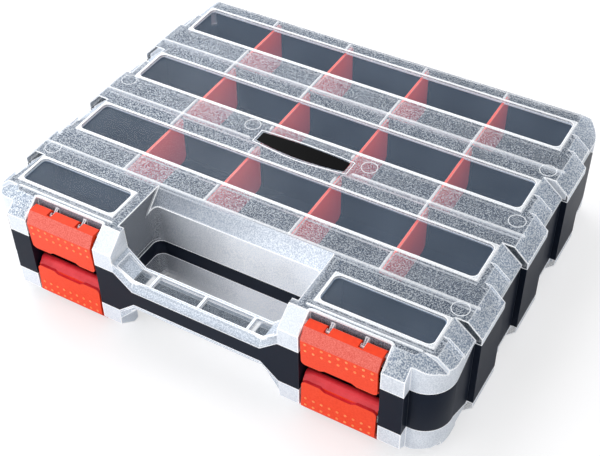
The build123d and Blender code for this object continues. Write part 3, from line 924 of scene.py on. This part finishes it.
def makeDots(flip):
    # raised dots of one latch: a flattened half ball, copied along both rows
    bpy.ops.object.select_all(action="DESELECT")
    turns, rings = dots["segments"]
    bpy.ops.mesh.primitive_uv_sphere_add(segments=turns, ring_count=rings, radius=mm(dots["radius"]))
    dot = bpy.context.active_object
    dot.rotation_euler = (pi / 2, 0, 0)
    bpy.ops.object.transform_apply(location=True, rotation=True, scale=True)
    dot.scale = (1, dots["rise"] / dots["radius"], 1)
    bpy.ops.object.transform_apply(location=True, rotation=True, scale=True)
    bpy.ops.object.shade_smooth()
    copies = []
    start, lean = dots["face"]
    for z in dots["rows"]:
        for number in range(dots["count"]):
            selectOnly(dot)
            bpy.ops.object.duplicate()
            spot = bpy.context.active_object
            y = start + (dots["rows"][0] - z) * lean
            spot.location = sidePoint(dots["first"] + number * dots["pitch"], y, z, flip)
            bpy.ops.object.transform_apply(location=True, rotation=True, scale=True)
            copies.append(spot)
    selectOnly(dot)
    bpy.ops.object.delete()
    return copies


for name in latchNames:
    # painted highlight: the dots are lighter than the plate
    joinPieces(makeDots(latchFlip(name)), f"{name}_dots", name, [latchDotHighlight])
print("latches finished")


# Beads and ribs moulded on the lids

beads = {
    "rib": 1.05,                 # mm, radius
    "ribHeight": 78.8,           # of the middle of a rib
    "ribReach": 152.5,
    "thin": 0.85,
    "thinHeight": 79.0,
    "ring": 0.26,
    "ringHeight": 79.22,
    "ringSize": 5.3,
    "ringSteps": 24,
    "frontSlope": (-120.0, 0.801),   # where the roof starts to fall, and its fall per mm
    "rim": 1.05,
    "rimHeight": 78.7,
    "pocket": (69.9, 122.5, -118.1, -131.2),   # inner and outer side, rear and front of its rim
    "pocketCorner": 2.4,
    "cornerSteps": 4,
    "stepLine": (66.5, 138.0, -115.6),   # ends and depth of the line behind a pocket
}
ribLines = {
    "rows": (-72.5, -6.5, 59.5),     # mm, of the ribs along the box
    "badgeHalf": 37.0,               # the middle one stops this far from the centre line for the badge
    "columns": (30.0, 90.0),         # of the ribs from front to back, which run between these depths
    "strips": ((-72.5, -55.0), (-20.6, 11.0), (45.4, 77.0), (111.4, 119.0)),
    "badgeStrips": ((-20.6, -14.0), (6.5, 11.0)),    # and in front of the badge and behind it
}
badgeFrame = {
    "radius": 0.4,
    # the outline of the frame, 1.8 mm outside the badge
    "points": ((-34.2, 3.6), (-22, 4.3), (-10, 4.7), (0, 4.8), (10, 4.7), (22, 4.3), (34.2, 3.6),
               (34.2, -8.6), (22, -10.3), (10, -11.8), (0, -12.3), (-10, -11.8), (-22, -10.3), (-34.2, -8.6)),
}
# middles of the ejector rings, in mm
ringPlaces = ((143.2, 3.4), (142.7, -77.8), (142.6, 56.0), (-142.7, -76.8), (-143.2, 6.7), (-42.7, 5.9),
              (44.1, 4.2))
beadEnd = ((0, 0.25), (0.3, 0.72), (1, 1))   # how far from the end, and how thick there, in radii


def beadAlong(points, radius, closed=False):
    # round bead through points given in metres; an open one has rounded ends
    path = [(point, 1) for point in points]
    if not closed:
        first = (points[1] - points[0]).normalized() * mm(radius)
        last = (points[-2] - points[-1]).normalized() * mm(radius)
        head = [(points[0] + first * far, thickness) for far, thickness in beadEnd]
        tail = [(points[-1] + last * far, thickness) for far, thickness in reversed(beadEnd)]
        path = head + path[1:-1] + tail
    bpy.ops.object.select_all(action="DESELECT")
    bpy.ops.curve.primitive_bezier_curve_add(location=(0, 0, 0))
    bead = bpy.context.active_object
    bead.data.splines.clear()
    spline = bead.data.splines.new("POLY")
    spline.points.add(len(path) - 1)
    for point, (place, thickness) in zip(spline.points, path):
        point.co = (*place, 1)
        point.radius = thickness
    spline.use_cyclic_u = closed
    bead.data.dimensions = "3D"
    bead.data.bevel_depth = mm(radius)
    bead.data.bevel_resolution = 2
    bead.data.use_fill_caps = not closed
    bpy.ops.object.convert(target="MESH")
    bpy.ops.object.shade_smooth()
    return bead


def frontHeight(y, height):
    # a height on the roof, carried down its front slope
    start, fall = beads["frontSlope"]
    return height - max(0, start - y) * fall


def pocketPath(flip):
    # round the sides and the back of a latch pocket, in metres
    inner, outer, rear, front = beads["pocket"]
    radius = beads["pocketCorner"]
    height = beads["rimHeight"]
    path = [(inner, front), (inner, beads["frontSlope"][0])]
    for middleX, start in ((inner + radius, 180), (outer - radius, 90)):
        for step in range(beads["cornerSteps"] + 1):
            angle = radians(start - 90 * step / beads["cornerSteps"])
            path.append((middleX + radius * cos(angle), rear - radius + radius * sin(angle)))
    path += [(outer, beads["frontSlope"][0]), (outer, front)]
    return [sidePoint(x, y, frontHeight(y, height), flip) for x, y in path]


def makeRibs(up):
    # the ribs under the roof and the marks of the ejector pins, which show as soft bands and rings
    pieces = []
    rib, ribHeight, reach = beads["rib"], beads["ribHeight"], beads["ribReach"]
    straight = [(-reach, y, reach, y) for y in ribLines["rows"] if y != ribLines["rows"][1] or up < 0]
    if up > 0:
        y, inner = ribLines["rows"][1], ribLines["badgeHalf"]
        straight += [(-reach, y, -inner, y), (inner, y, reach, y)]
    for column in ribLines["columns"]:
        for x in (-column, column):
            strips = list(ribLines["strips"])
            if up > 0 and column < ribLines["badgeHalf"]:
                strips[1:2] = ribLines["badgeStrips"]
            straight += [(x, y0, x, y1) for y0, y1 in strips]
    for x0, y0, x1, y1 in straight:
        ends = [sidePoint(x0, y0, ribHeight, (1, up)), sidePoint(x1, y1, ribHeight, (1, up))]
        pieces.append(beadAlong(ends, rib))
    size, steps = beads["ringSize"], beads["ringSteps"]
    angles = [radians(360 * step / steps) for step in range(steps)]
    for x, y in ringPlaces:
        circle = [(x + size * cos(angle), y + size * sin(angle)) for angle in angles]
        circle = [sidePoint(*place, beads["ringHeight"], (1, up)) for place in circle]
        pieces.append(beadAlong(circle, beads["ring"], closed=True))
    return pieces


def makeRims(up):
    # the raised rims of the latch pockets, the line behind them and the frame of the badge
    pieces = []
    x0, x1, y = beads["stepLine"]
    for across in (1, -1):
        flip = (across, up)
        pieces.append(beadAlong(pocketPath(flip), beads["rim"]))
        line = [sidePoint(x0, y, beads["thinHeight"], flip), sidePoint(x1, y, beads["thinHeight"], flip)]
        pieces.append(beadAlong(line, beads["thin"]))
    if up > 0:
        frameLine = [sidePoint(x, y, beads["ringHeight"]) for x, y in badgeFrame["points"]]
        pieces.append(beadAlong(frameLine, badgeFrame["radius"], closed=True))
    return pieces


for lidBody, up in lidSides.items():
    joinPieces(makeRibs(up), f"{lidBody}_ribs", lidBody, [frostedRib])
    joinPieces(makeRims(up), f"{lidBody}_rims", lidBody, [frostedRim])
print("beads and ribs laid")


# Studio

studio = {
    "floorSize": 6.0,            # metres
    "floorColours": ("#F4F5F7", "#FAFAFB"),
    "floorSeen": "#B0B0B2",      # its colour to the camera, with the light of its own over it
    "floorCloud": 400,           # mm
    "floorRoughness": 0.9,
    "keyPower": 7,               # watts
    "keyPlace": (-0.5, 0.25, 0.85),
    "keySize": 0.8,
    "fillPower": 4,
    "fillPlace": (-0.45, -1.0, 0.6),
    "aim": (0, 0, 0.04),
    "worldStrength": 0.68,
    "floorGlow": 0.6,            # light of its own that the camera sees, so that shadows stay pale
}


def makeStudio():
    bpy.ops.object.select_all(action="DESELECT")
    bpy.ops.mesh.primitive_plane_add(size=studio["floorSize"], location=(0, 0, 0))
    floor = bpy.context.active_object
    floor.name = "studioFloor"
    inputs = {"Roughness": studio["floorRoughness"]}
    material, tree, shader, coordinates = newMaterial("paintedStudioFloor", inputs)
    noise = {"Vector": coordinates, "Scale": 1 / mm(studio["floorCloud"])}
    cloud = addNode(tree, "ShaderNodeTexNoise", noise)
    dark, light = (hexColour(code) for code in studio["floorColours"])
    plain = addNode(tree, "ShaderNodeMix", {0: cloud, 6: dark, 7: light}, **colourMix)
    seen = addNode(tree, "ShaderNodeLightPath", output="Is Camera Ray")
    seenColour = hexColour(studio["floorSeen"])
    colour = addNode(tree, "ShaderNodeMix", {0: seen, 6: plain, 7: seenColour}, **colourMix)
    tree.links.new(colour, shader.inputs["Base Color"])
    shader.inputs["Emission Color"].default_value = (1, 1, 1, 1)
    glow = addNode(tree, "ShaderNodeMapRange", (seen, 0, 1, 0, studio["floorGlow"]))
    tree.links.new(glow, shader.inputs["Emission Strength"])
    floor.data.materials.append(material)

    world = bpy.data.worlds.new("studioWorld")
    scene.world = world
    world.use_nodes = True
    tree = world.node_tree
    tree.nodes.clear()
    direct = addNode(tree, "ShaderNodeLightPath", output="Is Camera Ray")
    glossy = addNode(tree, "ShaderNodeLightPath", output="Is Glossy Ray")
    seen = addNode(tree, "ShaderNodeMath", (direct, glossy), operation="MAXIMUM")
    strength = addNode(tree, "ShaderNodeMapRange", (seen, 0, 1, studio["worldStrength"], 1))
    background = addNode(tree, "ShaderNodeBackground", {"Color": (1, 1, 1, 1), "Strength": strength})
    addNode(tree, "ShaderNodeOutputWorld", {"Surface": background})

    for name, power, place, size in (
        ("keyLight", studio["keyPower"], studio["keyPlace"], studio["keySize"]),
        ("fillLight", studio["fillPower"], studio["fillPlace"], studio["keySize"]),
    ):
        bpy.ops.object.light_add(type="AREA", location=place)
        lamp = bpy.context.active_object
        lamp.name = name
        lamp.data.energy = power
        lamp.data.size = size
        lamp.rotation_euler = (Vector(studio["aim"]) - Vector(place)).to_track_quat("-Z", "Y").to_euler()


makeStudio()
print("studio lit")
